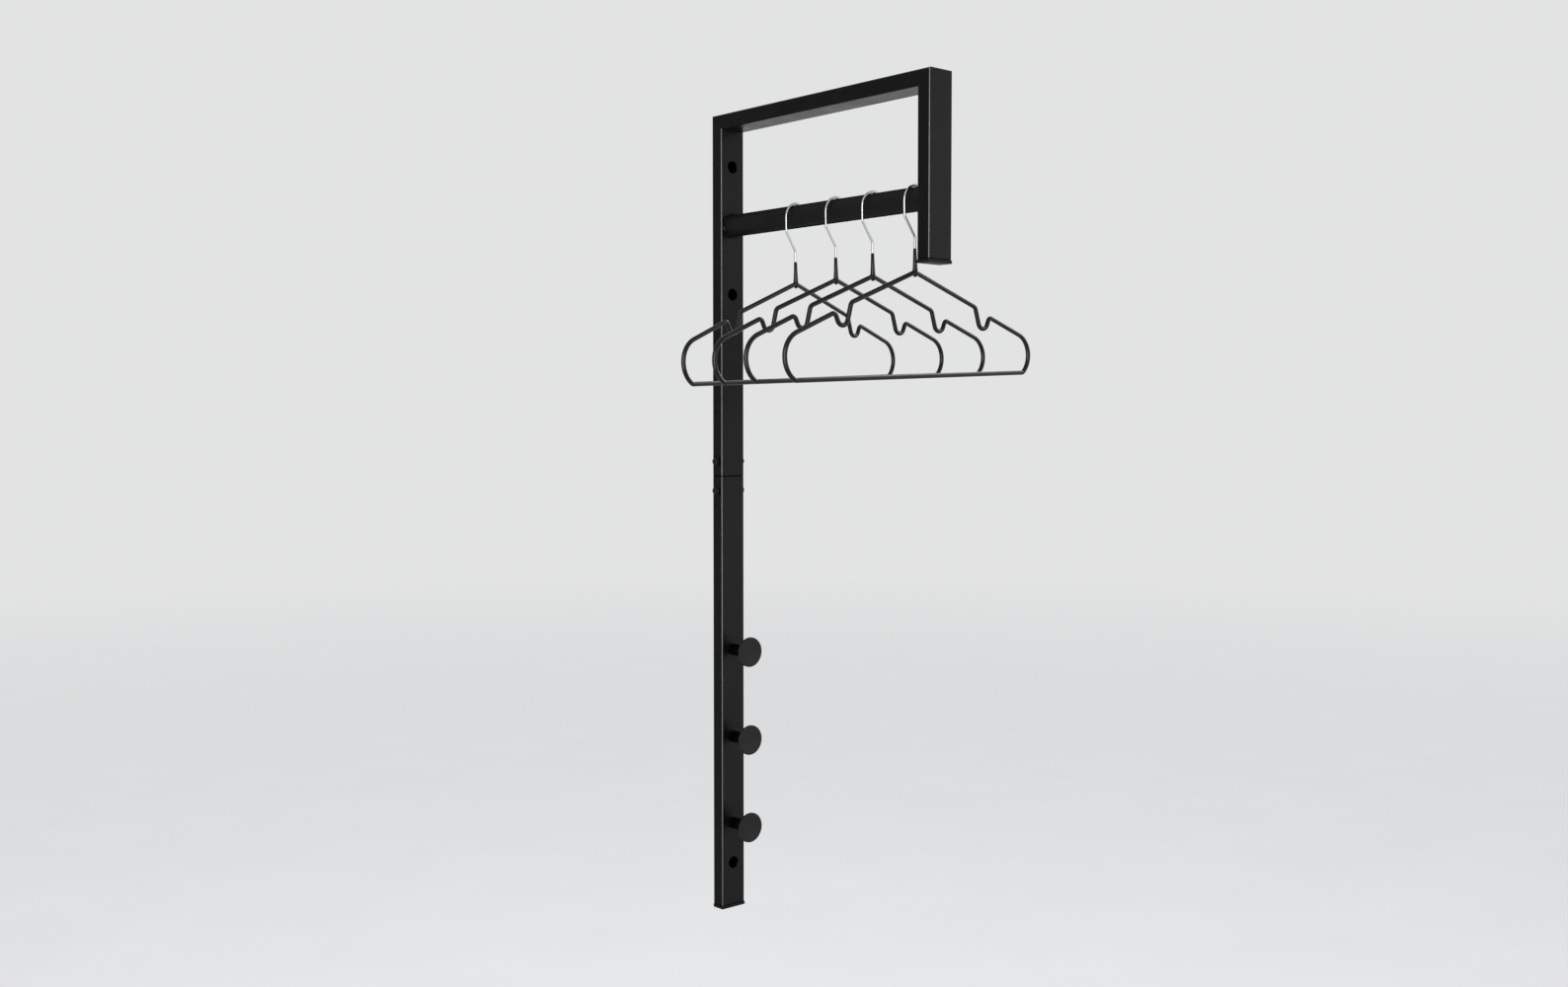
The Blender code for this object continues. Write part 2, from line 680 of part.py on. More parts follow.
def main():
    for obj in list(bpy.data.objects):
        bpy.data.objects.remove(obj)
    coat = finish("satin_black_coat", (0.008, 0.008, 0.0083), 0.42, 0.0)
    gloss = finish("gloss_black_coat", (0.005, 0.005, 0.0053), 0.22, 0.0)
    plastic = finish("black_plastic", (0.013, 0.013, 0.0135), 0.5, 0.0)
    coating = finish("black_wire_coating", (0.004, 0.004, 0.0042), 0.25, 0.0)
    chrome = finish("bright_chrome", (0.70, 0.70, 0.71), 0.08, 1.0)
    zinc = finish("zinc_steel", (0.60, 0.60, 0.58), 0.35, 1.0)
    dark_steel = finish("black_steel", (0.025, 0.025, 0.026), 0.35, 0.6)
    make_upper_post(coat)
    make_lower_post(coat)
    make_top_arm(coat)
    make_drop_leg(coat)
    make_hanging_rail(gloss)
    make_joint_sleeve(zinc)
    make_joint_screws(dark_steel)
    make_end_caps(plastic)
    make_knobs(coat, gloss, zinc)
    make_hangers(coating, chrome)


main()
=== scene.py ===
"""Looks of the wall coat rack: finer surfaces over its solids, their finishes, and a plain pale studio."""

import json
import math

import bmesh
import bpy
from mathutils import Matrix, Vector

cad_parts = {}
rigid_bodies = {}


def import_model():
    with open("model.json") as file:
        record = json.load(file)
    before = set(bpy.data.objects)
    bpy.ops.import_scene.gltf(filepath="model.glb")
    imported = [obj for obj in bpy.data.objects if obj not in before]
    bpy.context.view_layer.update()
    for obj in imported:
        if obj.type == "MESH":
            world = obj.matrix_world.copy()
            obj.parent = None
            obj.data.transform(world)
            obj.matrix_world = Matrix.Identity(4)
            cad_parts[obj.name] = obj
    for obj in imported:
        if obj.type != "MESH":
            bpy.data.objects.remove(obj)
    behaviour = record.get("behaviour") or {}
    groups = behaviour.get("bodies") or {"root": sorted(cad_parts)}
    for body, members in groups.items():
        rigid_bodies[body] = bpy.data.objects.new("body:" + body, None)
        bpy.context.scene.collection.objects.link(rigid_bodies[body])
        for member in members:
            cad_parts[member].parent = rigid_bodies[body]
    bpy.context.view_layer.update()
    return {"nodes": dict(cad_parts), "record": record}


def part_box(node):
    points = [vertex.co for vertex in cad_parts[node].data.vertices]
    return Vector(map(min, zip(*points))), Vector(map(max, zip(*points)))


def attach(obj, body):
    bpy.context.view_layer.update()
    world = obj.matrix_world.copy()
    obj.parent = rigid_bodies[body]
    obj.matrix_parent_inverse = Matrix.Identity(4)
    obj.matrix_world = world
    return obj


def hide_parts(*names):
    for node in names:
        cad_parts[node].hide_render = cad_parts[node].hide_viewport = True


for leftover in list(bpy.data.objects):
    bpy.data.objects.remove(leftover)
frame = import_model()

# Camera, in metres and degrees: turned from straight at the wall to the right, and tipped down
CAMERA_PLACE = (-1.3951, -1.6935, 0.1298)
CAMERA_TURN = 41.68
CAMERA_TIP = 2.59
FOCAL_PIXELS = 1589.0
PHOTO_WIDTH = 1588
SENSOR = 36.0  # millimetres

# Places from the frame
POST_LOW, POST_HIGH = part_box("upper_post")
LOWER_LOW, LOWER_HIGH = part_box("lower_post")
RAIL_LOW, RAIL_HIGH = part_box("hanging_rail")
LEG_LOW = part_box("drop_leg")[0]
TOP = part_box("top_arm")[1].z
TUBE_WIDTH = POST_HIGH.x - POST_LOW.x
TUBE_DEPTH = POST_HIGH.y - POST_LOW.y
REACH = -LEG_LOW.y
RAIL_AXIS = (RAIL_LOW.z + RAIL_HIGH.z) / 2

# Rack sizes that the boxes don't give
TUBE_CORNER = 0.002
TUBE_WALL = 0.0015
INNER_CORNER = 0.0005
END_EASE = 0.0004  # rounding of the coated edges at open ends, holes and stems
SEAM_GAP = 0.0001
ACCESS_HOLE = 0.0163
SCREW_HOLE = 0.007
UPPER_FIXING = TOP - 0.0696
MIDDLE_FIXING = TOP - 0.2442
LOWER_FIXING = -TOP + 0.0634
RAIL_DIAMETER = 0.030
RAIL_WALL = 0.0015
STUD_BORE = 0.0066
STUD_SEAT = 0.0018
KNOB_EDGE = 0.0008

# Weld beads of the rail
BEAD = 0.0023
BEAD_RIPPLES = 34
BEAD_RIPPLE = 0.13  # share of the bead's size
BEAD_WAVES = 5
BEAD_WAVE = 0.06  # share of the bead's size

# Joint screws
SCREW_SHANK = 0.005
SCREW_EASE = 0.0003
SOLID_HEAD = 0.0024  # the head's height in the solid
HEAD_HEIGHT = 0.005  # higher than the solid's, because the heads show past both edges of the post
HEAD_ROUND = 0.0009
SOCKET_ACROSS = 0.004
SOCKET_DEPTH = 0.003
SOCKET_SPINS = {"upper": 17, "lower": -8}  # degrees

# Painted shade, and wear with a painted highlight, of the coats: a share of wear is 1 where an edge is
# fully burnished and most brightly painted
LIP_SHADE = 2.0  # reach of the lip's painted shade at an open end, in eased edges
LIP_FADE = 0.5  # further reach over which it fades
SKIN = 0.0001  # metres within which a point counts as on the outer skin or the lip
ARM_WEAR_AND_SHEEN = 0.1  # the arm is out of reach, so its edges are hardly burnished and get little painted highlight
KNOB_WEAR_AND_SHEEN = 0.6
HEAD_FOOT_WEAR_AND_SHEEN = 0.4
HEAD_WEAR_AND_SHEEN = 0.6
SOCKET_WEAR_AND_SHEEN = [1.0, 0.6, 0.0]  # rim, eased edge and floor

# Hangers on the rail, in degrees: each turned about its hook and leaning in its own plane
HANGER_TURNS = (7.6, 3.5, 1.3, 0.0)
HANGER_LEANS = (-1.5, -1.4, -1.3, -1.3)

# Hook, with its lower end measured up from the crotch of the frame
NECK_DROP = 0.0877  # rail's axis to the crotch
HOOK_WIRE = 0.003
HOOK_RADIUS = 0.0205
HOOK_SAG = 0.0036  # of the arc's centre under the rail's axis
HOOK_SHIFT = 0.003  # of the arc's centre to the side
HOOK_TIP = 22  # degrees by which the arc runs on past level
HOOK_SIDE_DROP = 0.0205  # rail's axis to the foot of the upright side
HOOK_SIDE_BEND = 0.0077
HOOK_BEND_RISE = 0.0423
HOOK_BEND_RADIUS = 0.0057
STEM_FOOT = 0.006

# Dipped neck: radii, and heights from the crotch
NECK_RISE = 0.0283
NECK_TOP = 0.0021
NECK_LIP = 0.0003
NECK_BASE = 0.0027
NECK_BULB = 0.0035
NECK_FLARE = 0.0086
NECK_EASE = 0.0002
FLARE_EASE = 0.002
BULB_HEIGHT = 0.0036
BULB_EASE = 0.0006
NUB_DROP = 0.0061
NUB_ROUND = 0.001
NUB_EASE = 0.0003

# Wire frame, out from the middle and down from the crotch
FRAME_WIRE = 0.0058  # with its coating a little fuller than the solid
CROTCH_BEND = 0.0057
NOTCH_REACH = 0.109  # inner lip of the notch, from the middle
NOTCH_FALL = 0.0399
NOTCH_WIDTH = 0.0266  # outer lip from the inner one
NOTCH_STEP = 0.0121
NOTCH_SLANT = 0.0126  # foot of the notch from the inner lip
NOTCH_DEPTH = 0.0429
INNER_LIP_BEND = 0.0074
NOTCH_BEND = 0.0086
OUTER_LIP_BEND = 0.005
BAR_RUN = 0.0029  # from the round end to the bar's corner
BAR_BEND = 0.0048
LEFT_END = {"half_span": 0.2148, "slope_degrees": 21.5, "end_bend": 0.0305, "turn_degrees": 55.3}
RIGHT_END = {"half_span": 0.2119, "slope_degrees": 20.3, "end_bend": 0.0279, "turn_degrees": 48.0}

# Smoothness
CORNER_STEPS = 8
EASE_STEPS = 5
STEM_EASE_STEPS = 3
RIPPLE_STEPS = 6
BEAD_STEPS = 6
TIP_STEPS = 5
BEND_STEP = 5  # degrees
HOOK_STEP = 4  # degrees
WIRE_SIDES = 20
NECK_SIDES = 40
HOLE_SIDES = 48
ROUND_SIDES = 72
FINE_SIDES = 96
SHARP_EDGE = 40  # degrees
WIRE_SHARP_EDGE = 60
BEAD_SHARP_EDGE = 70
SAME_POINT = 1e-6

# Studio
FLOOR_DROP = 1.275  # origin to the floor, which puts the rack's top about 1.83 m up
FLOOR_SIZE = 80
FLOOR_FADE = (3.0, 12.0)  # metres from the rack over which the floor passes into the backdrop
PALE = (0.765, 0.768, 0.772, 1)
AMBIENT_COLOUR = (0.98, 0.99, 1.0, 1)
AMBIENT = 0.78
RACK_MIDDLE = (0, -0.2, 0)
UNDER_RACK = (0, -0.2, -FLOOR_DROP)
LAMPS = {
    "window_softbox": {"place": (-2.0, -2.25, 0.5), "size": (0.9, 2.6), "watts": 36},
    "front_fill": {"place": (2.0, -2.4, -0.1), "size": (2.8, 2.8), "watts": 15},
    "floor_light": {"place": (-0.6, -0.8, 3.2), "size": (2.0, 2.0), "watts": 60, "target": UNDER_RACK},
    "edge_strip": {"place": (-1.75, -1.35, -0.3), "size": (1.4, 2.8), "watts": 28, "gloss_only": True},
    "wire_window": {"place": (-1.9, -1.3, 0.2), "size": (2.0, 2.0), "watts": 60, "gloss_only": True},
    "high_panel": {"place": (2.4, -0.4, 1.7), "size": (3.2, 2.4), "watts": 75, "gloss_only": True},
}
FLAG_PLACE = (-1.0, 1.1, 0)
FLAG_SIZE = (2.4, 3.0)

OUTWARD = Matrix.Rotation(math.pi / 2, 4, "X")
MIX_FIRST, MIX_SECOND, MIX_RESULT = 6, 7, 2  # a Mix node's sockets for colours


# Shapes


def around(radius, angle, height):
    return Vector((radius * math.cos(angle), radius * math.sin(angle), height))


def circle(radius, height, sides):
    return [around(radius, 2 * math.pi * i / sides, height) for i in range(sides)]


def hexagon(across, height, sides):
    """Ring of a hexagon with the points of a circle moved in or out to its flats."""
    ring = []
    for point in circle(1, height, sides):
        angle = math.atan2(point.y, point.x)
        off_flat = (angle + math.pi / 6) % (math.pi / 3) - math.pi / 6
        reach = across / 2 / math.cos(off_flat)
        ring.append(Vector((point.x * reach, point.y * reach, height)))
    return ring


def rounded_rectangle(x_size, y_size, radius):
    points = []
    for quarter in range(4):
        centre_x = (1, -1, -1, 1)[quarter] * (x_size / 2 - radius)
        centre_y = (1, 1, -1, -1)[quarter] * (y_size / 2 - radius)
        for step in range(CORNER_STEPS + 1):
            angle = math.pi / 2 * (quarter + step / CORNER_STEPS)
            points.append((centre_x + radius * math.cos(angle), centre_y + radius * math.sin(angle)))
    return points


def loft(rings, wrap=False):
    """Mesh through rings of equally many points, closed on itself with wrap and otherwise capped."""
    bm = bmesh.new()
    loops = [[bm.verts.new(point) for point in ring] for ring in rings]
    following = loops[1:] + loops[:1] if wrap else loops[1:]
    for lower, upper in zip(loops, following):
        for i in range(len(lower)):
            bm.faces.new((lower[i - 1], lower[i], upper[i], upper[i - 1]))
    if not wrap:
        bm.faces.new(loops[0])
        bm.faces.new(loops[-1])
    bmesh.ops.recalc_face_normals(bm, faces=bm.faces)
    mesh = bpy.data.meshes.new("loft")
    bm.to_mesh(mesh)
    bm.free()
    return mesh


def turned(profile, sides, wrap=False):
    return loft([circle(radius, height, sides) for radius, height in profile], wrap)


def eased(radius, height, ease, start, steps=EASE_STEPS):
    """Points of a quarter round on a turned profile, about a centre inside the edge."""
    points = []
    for step in range(steps + 1):
        angle = math.radians(start + 90 * step / steps)
        points.append((radius + ease * math.cos(angle), height + ease * math.sin(angle)))
    return points


def filleted(corners):
    """Points along straight runs between corners, with an arc at each corner that has a radius."""
    points = []
    for i, (corner, radius) in enumerate(corners):
        if not radius:
            points.append(corner)
            continue
        back = (corners[i - 1][0] - corner).normalized()
        ahead = (corners[(i + 1) % len(corners)][0] - corner).normalized()
        half = back.angle(ahead) / 2
        centre = corner + (back + ahead).normalized() * (radius / math.sin(half))
        first = corner + back * (radius / math.tan(half)) - centre
        last = corner + ahead * (radius / math.tan(half)) - centre
        sweep = math.pi - 2 * half
        count = max(2, math.ceil(math.degrees(sweep) / BEND_STEP))
        for step in range(count + 1):
            angle = sweep * step / count
            along = first * math.sin(sweep - angle) + last * math.sin(angle)
            point = centre + along / math.sin(sweep)
            if not points or (point - points[-1]).length > SAME_POINT:
                points.append(point)
    return points


def wire_rings(points, radius, closed=False):
    """Rings of a round wire along points in the XZ plane."""
    across = Vector((0, 1, 0))
    rings = []
    for i, point in enumerate(points):
        before = points[i - 1] if closed or i else point
        after = points[(i + 1) % len(points)] if closed or i + 1 < len(points) else point
        into = (point - before).normalized()
        out = (after - point).normalized()
        normal = (into + out).normalized().cross(across)
        mitre = max(normal.dot(out.cross(across)), normal.dot(into.cross(across)))
        ring = []
        for offset in circle(radius, 0, WIRE_SIDES):
            ring.append(point + normal * (offset.x / mitre) + across * offset.y)
        rings.append(ring)
    return rings


def added(name, data):
    obj = bpy.data.objects.new(name, data)
    bpy.context.collection.objects.link(obj)
    return obj


def combined(mesh, tools, operation):
    """The mesh with each tool mesh, at its place, cut out of it or joined to it."""
    body = added("body", mesh)
    scratch = [body]
    for tool_mesh, matrix in tools:
        tool = added("tool", tool_mesh)
        tool.matrix_world = matrix
        scratch.append(tool)
        step = body.modifiers.new("step", "BOOLEAN")
        step.operation = operation
        step.solver = "EXACT"
        step.object = tool
    view = bpy.context.evaluated_depsgraph_get()
    result = bpy.data.meshes.new_from_object(body.evaluated_get(view))
    for obj in scratch:
        bpy.data.objects.remove(obj)
    return result


def piece(name, mesh, material, body, nodes=(), matrix=None, sharp=SHARP_EDGE, weighted=False):
    """A named piece at its place that rides on a body and stands for the nodes given."""
    mesh.name = name
    mesh.materials.clear()
    mesh.materials.append(material)
    mesh.shade_smooth()
    mesh.set_sharp_from_angle(angle=math.radians(sharp))
    obj = added(name, mesh)
    if matrix:
        obj.matrix_world = matrix
    if weighted:
        flat = obj.modifiers.new("flat_faces", "WEIGHTED_NORMAL")
        flat.keep_sharp = True
    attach(obj, body)
    if nodes:
        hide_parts(*nodes)
    return obj


# Materials


class Finish:
    """A Principled material whose nodes read the piece's own coordinates.

    Values for the shader's own sockets are given by name, with _ for a blank.
    """

    def __init__(self, name, **values):
        self.material = bpy.data.materials.new(name)
        self.material.use_nodes = True
        self.nodes = self.material.node_tree.nodes
        self.shader = self.nodes["Principled BSDF"]
        self.place = self.nodes.new("ShaderNodeTexCoord").outputs["Object"]
        for socket, value in values.items():
            self.shader.inputs[socket.replace("_", " ")].default_value = value

    def join(self, output, socket):
        self.material.node_tree.links.new(output, socket)

    def noise(self, scale, detail):
        """Noise with so many bumps in a metre, and so many finer layers."""
        texture = self.nodes.new("ShaderNodeTexNoise")
        texture.inputs["Scale"].default_value = scale
        texture.inputs["Detail"].default_value = detail
        self.join(self.place, texture.inputs["Vector"])
        return texture.outputs["Fac"]

    def ranged(self, value, low, high, start=0.3, stop=0.7):
        """The value mapped to low at start and to high at stop, which default to a noise's usual span."""
        node = self.nodes.new("ShaderNodeMapRange")
        node.inputs["From Min"].default_value = start
        node.inputs["From Max"].default_value = stop
        node.inputs["To Min"].default_value = low
        node.inputs["To Max"].default_value = high
        self.join(value, node.inputs["Value"])
        return node.outputs["Result"]

    def times(self, first, second):
        node = self.nodes.new("ShaderNodeMath")
        node.operation = "MULTIPLY"
        self.join(first, node.inputs[0])
        self.join(second, node.inputs[1])
        return node.outputs["Value"]

    def attribute(self, name):
        node = self.nodes.new("ShaderNodeAttribute")
        node.attribute_name = name
        return node.outputs["Fac"]

    def turned_away(self):
        return self.nodes.new("ShaderNodeLayerWeight").outputs["Facing"]

    def mixed(self, share, first, second):
        """Colour between two, each a colour or another mix."""
        node = self.nodes.new("ShaderNodeMix")
        node.data_type = "RGBA"
        self.join(share, node.inputs["Factor"])
        for value, socket in ((first, node.inputs[MIX_FIRST]), (second, node.inputs[MIX_SECOND])):
            if isinstance(value, tuple):
                socket.default_value = (*value, 1)
            else:
                self.join(value, socket)
        return node.outputs[MIX_RESULT]

    def colour(self, output):
        self.join(output, self.shader.inputs["Base Color"])

    def roughness(self, output):
        self.join(output, self.shader.inputs["Roughness"])

    def gloss(self, output):
        self.join(output, self.shader.inputs["Specular IOR Level"])

    def bumps(self, *layers):
        """Height layers of (noise, metres, strength) on top of each other."""
        normal = None
        for height, distance, strength in layers:
            node = self.nodes.new("ShaderNodeBump")
            node.inputs["Distance"].default_value = distance
            node.inputs["Strength"].default_value = strength
            self.join(height, node.inputs["Height"])
            if normal:
                self.join(normal, node.inputs["Normal"])
            normal = node.outputs["Normal"]
        self.join(normal, self.shader.inputs["Normal"])


def satin_coat():
    """Black powder coat: fine orange peel, faint clouds of tone, burnished, glossier edges painted
    brighter as wear and a painted highlight, and painted shade inside and on open lips.
    """
    coat = Finish("satin_black_powder_coat")
    inside = coat.attribute("inside")
    edge = coat.attribute("edge")
    burnish = coat.ranged(edge, 0.13, 1.0, start=0.7, stop=0.95)
    coat.gloss(coat.times(burnish, coat.ranged(inside, 1, 0.1, start=0, stop=1)))
    cloud = coat.ranged(coat.noise(9, 4), 0, 1)
    tone = coat.mixed(cloud, (0.0022, 0.0022, 0.0023), (0.0038, 0.0038, 0.0039))
    # Edges painted brighter: partly wear of the coat, partly a painted highlight
    rubbed_and_sheen = coat.times(edge, coat.ranged(coat.noise(25, 3), 0.3, 0.7))
    outside = coat.mixed(rubbed_and_sheen, tone, (0.026, 0.026, 0.027))
    # Painted shade inside the tubes and holes and on the lips at open ends, the seam and the caps
    coat.colour(coat.mixed(inside, outside, (0.0008, 0.0008, 0.0008)))
    coat.roughness(coat.ranged(coat.noise(30, 3), 0.26, 0.36))
    coat.bumps((coat.noise(900, 2), 0.0001, 0.02), (coat.noise(3200, 1), 0.00003, 0.04))
    return coat.material


def gloss_coat():
    """Deeper black coat of the rail, smoother than the posts', with little gloss towards its edges."""
    coat = Finish("gloss_black_coat")
    cloud = coat.ranged(coat.noise(14, 4), 0, 1)
    coat.colour(coat.mixed(cloud, (0.0074, 0.0074, 0.0076), (0.0102, 0.0102, 0.0105)))
    coat.gloss(coat.ranged(coat.turned_away(), 0.07, 0.0, start=0.35, stop=0.7))
    coat.roughness(coat.ranged(coat.noise(25, 3), 0.40, 0.50))
    coat.bumps((coat.noise(700, 2), 0.0001, 0.06))
    return coat.material


def stem_coat():
    """Flat deep black coat of the knob stems, painted darker still as the shade under the discs."""
    coat = Finish("flat_black_coat_with_painted_shade", Specular_IOR_Level=0.03)
    cloud = coat.ranged(coat.noise(60, 3), 0, 1)
    # Painted shade: the stems' tone is darker than their own for the shade of the discs
    coat.colour(coat.mixed(cloud, (0.0006, 0.0006, 0.0006), (0.0014, 0.0014, 0.0015)))
    coat.roughness(coat.ranged(coat.noise(80, 3), 0.34, 0.44))
    coat.bumps((coat.noise(900, 2), 0.0001, 0.08))
    return coat.material


def weld_coat():
    """Coat over the weld beads, painted darker as the shade round the rail's ends, with glossy specks."""
    coat = Finish("black_weld_coat_with_painted_shade")
    cloud = coat.ranged(coat.noise(200, 3), 0, 1)
    # Painted shade: a darker tone for the shadow where the rail meets the post and the leg
    coat.colour(coat.mixed(cloud, (0.0008, 0.0008, 0.0008), (0.002, 0.002, 0.0021)))
    speck = coat.ranged(coat.noise(260, 2), 0, 1, start=0.5, stop=0.62)
    coat.roughness(coat.ranged(speck, 0.50, 0.12, start=0, stop=1))
    coat.gloss(coat.ranged(speck, 0.03, 0.30, start=0, stop=1))
    coat.bumps((coat.noise(300, 2), 0.0004, 0.5))
    return coat.material


def black_plastic():
    """Moulded plastic of the caps with a fine spark-eroded grain."""
    plastic = Finish("black_moulded_plastic", Specular_IOR_Level=0.10)
    cloud = plastic.ranged(plastic.noise(40, 3), 0, 1)
    plastic.colour(plastic.mixed(cloud, (0.005, 0.005, 0.0052), (0.009, 0.009, 0.0093)))
    plastic.roughness(plastic.ranged(plastic.noise(220, 2), 0.42, 0.56))
    plastic.bumps((plastic.noise(2400, 2), 0.00006, 0.3))
    return plastic.material


def zinc_steel():
    """Plated steel of the hidden sleeve, studs and nuts."""
    zinc = Finish("zinc_plated_steel", Metallic=1.0)
    patch = zinc.ranged(zinc.noise(160, 4), 0, 1)
    zinc.colour(zinc.mixed(patch, (0.50, 0.50, 0.49), (0.68, 0.68, 0.66)))
    zinc.roughness(zinc.ranged(zinc.noise(90, 3), 0.28, 0.45))
    zinc.bumps((zinc.noise(1500, 2), 0.00005, 0.15))
    return zinc.material


def black_screw():
    """Blackened steel screw, painted a little brighter round the socket and the rim, as wear and a painted
    glint.
    """
    steel = Finish("blackened_steel", Specular_IOR_Level=0.12)
    # Socket and rim painted brighter: partly wear, partly a painted glint
    rubbed_and_sheen = steel.times(steel.attribute("edge"), steel.ranged(steel.noise(500, 3), 0.2, 0.9))
    patch = steel.ranged(steel.noise(300, 3), 0, 1)
    tone = steel.mixed(patch, (0.003, 0.003, 0.0031), (0.007, 0.007, 0.0072))
    steel.colour(steel.mixed(rubbed_and_sheen, tone, (0.06, 0.06, 0.06)))
    steel.roughness(steel.ranged(steel.noise(400, 2), 0.26, 0.4))
    steel.bumps((steel.noise(2600, 2), 0.00004, 0.25))
    return steel.material


def wire_coating():
    """Glossy dipped coating of the hanger wire, with slow waves where it ran and set."""
    coating = Finish("black_dipped_coating", Specular_IOR_Level=0.22)
    cloud = coating.ranged(coating.noise(30, 3), 0, 1)
    coating.colour(coating.mixed(cloud, (0.002, 0.002, 0.0021), (0.004, 0.004, 0.0042)))
    coating.roughness(coating.ranged(coating.noise(45, 3), 0.24, 0.32))
    coating.bumps((coating.noise(40, 1), 0.0002, 0.01))
    return coating.material


def chrome():
    """Bright plated wire with a faint haze and slow waves, with a painted dark reflection towards the
    edges.
    """
    plate = Finish("bright_chrome", Metallic=1.0)
    haze = plate.ranged(plate.noise(25, 2), 0, 1)
    bright = plate.mixed(haze, (0.60, 0.60, 0.61), (0.70, 0.70, 0.71))
    # Painted reflection: the colour darkens towards the wire's edges as if it mirrored dark surroundings
    rim = plate.ranged(plate.turned_away(), 0, 1, start=0.28, stop=0.62)
    plate.colour(plate.mixed(rim, bright, (0.04, 0.04, 0.041)))
    plate.roughness(plate.ranged(plate.noise(20, 2), 0.14, 0.20))
    plate.bumps((plate.noise(40, 1), 0.00004, 0.01))
    return plate.material


# Rack


def lip_rings(ease):
    """Outer rings at a tube's end as (inset, distance from the end), more of them where it is eased."""
    if not ease:
        return [(0, 0)]
    return [(ease, 0), (0, ease), (0, LIP_SHADE * ease), (0, (LIP_SHADE + LIP_FADE) * ease)]


def tube_mesh(start, end, start_ease=0.0, end_ease=0.0):
    """The rack's tube along Z with ends as planes over the section's y, the open ends eased."""
    inner = rounded_rectangle(TUBE_WIDTH - 2 * TUBE_WALL, TUBE_DEPTH - 2 * TUBE_WALL, INNER_CORNER)
    rings = []

    def outer(inset, plane, shift):
        outline = rounded_rectangle(TUBE_WIDTH - 2 * inset, TUBE_DEPTH - 2 * inset, TUBE_CORNER - inset)
        rings.append([Vector((x, y, plane(y) + shift)) for x, y in outline])

    for inset, distance in lip_rings(start_ease):
        outer(inset, start, distance)
    for inset, distance in reversed(lip_rings(end_ease)):
        outer(inset, end, -distance)
    for plane in (end, start):
        rings.append([Vector((x, y, plane(y))) for x, y in inner])
    return loft(rings, wrap=True)


def mark_tube(mesh, open_ends=(), wear_and_sheen=1.0):
    """Stores how far each point is round a corner, for wear and a painted highlight, and whether it is
    inside or on an open end's lip, for painted shade.
    """
    edges = mesh.attributes.new("edge", "FLOAT", "POINT")
    insides = mesh.attributes.new("inside", "FLOAT", "POINT")
    for i, vertex in enumerate(mesh.vertices):
        across = max(abs(vertex.co.x) - TUBE_WIDTH / 2 + TUBE_CORNER, 0)
        deep = max(abs(vertex.co.y) - TUBE_DEPTH / 2 + TUBE_CORNER, 0)
        skin = math.hypot(across, deep) > TUBE_CORNER - SKIN
        lip = any(abs(vertex.co.z - end) < LIP_SHADE * END_EASE + SKIN for end in open_ends)
        # Brighter towards the middle of each corner: wear and a painted highlight
        edges.data[i].value = wear_and_sheen * math.sin(2 * math.atan2(deep, across))
        # Points inside the tube or on an open end's lip take painted shade
        insides.data[i].value = float(lip or not skin)


def mark_rings(mesh, wear_and_sheen):
    """Stores a share of wear and painted highlight for each point of a loft, from a list with one share
    for each ring.
    """
    edges = mesh.attributes.new("edge", "FLOAT", "POINT")
    ring_size = len(edges.data) // len(wear_and_sheen)
    for i, edge in enumerate(edges.data):
        edge.value = wear_and_sheen[i // ring_size]


def hole_cutter(diameter, depth):
    """Cutter along Z that enters the surface at its own origin, with an eased mouth."""
    radius = diameter / 2
    mouth = radius + END_EASE
    return turned([(radius, -depth), (radius, -END_EASE), (mouth, 0), (mouth, depth)], HOLE_SIDES)


def fixing_cutters(height):
    """Access hole from the front and screw hole from the back, in the post's own frame."""
    half = TUBE_DEPTH / 2
    front = Matrix.Translation((0, -half, height)) @ OUTWARD
    back = Matrix.Translation((0, half, height)) @ OUTWARD.inverted()
    return [(hole_cutter(ACCESS_HOLE, half), front), (hole_cutter(SCREW_HOLE, half), back)]


def coated_tube(node, mesh, coat, place):
    piece(f"{node}_coated", mesh, coat, "rack", [node], place, weighted=True)


def make_posts(coat):
    """Upper and lower post, above and below the seam."""
    middle = Matrix.Translation((0, -TUBE_DEPTH / 2, 0))
    seam = (POST_LOW.z + LOWER_HIGH.z) / 2
    above = seam + SEAM_GAP / 2
    below = seam - SEAM_GAP / 2
    upper = tube_mesh(lambda y: above, lambda y: TOP - TUBE_DEPTH / 2 + y, start_ease=END_EASE)
    upper = combined(upper, fixing_cutters(UPPER_FIXING) + fixing_cutters(MIDDLE_FIXING), "DIFFERENCE")
    mark_tube(upper, [above])
    coated_tube("upper_post", upper, coat, middle)

    lower = tube_mesh(lambda y: LOWER_LOW.z, lambda y: below, END_EASE, END_EASE)
    lower = combined(lower, fixing_cutters(LOWER_FIXING), "DIFFERENCE")
    mark_tube(lower, [LOWER_LOW.z, below])
    coated_tube("lower_post", lower, coat, middle)


def make_arm(coat):
    arm = tube_mesh(lambda y: TUBE_DEPTH / 2 - y, lambda y: REACH - TUBE_DEPTH / 2 + y)
    mark_tube(arm, wear_and_sheen=ARM_WEAR_AND_SHEEN)
    coated_tube("top_arm", arm, coat, Matrix.Translation((0, 0, TOP - TUBE_DEPTH / 2)) @ OUTWARD)


def make_leg(coat):
    leg = tube_mesh(lambda y: LEG_LOW.z, lambda y: TOP - TUBE_DEPTH / 2 - y, start_ease=END_EASE)
    mark_tube(leg, [LEG_LOW.z])
    coated_tube("drop_leg", leg, coat, Matrix.Translation((0, TUBE_DEPTH / 2 - REACH, 0)))


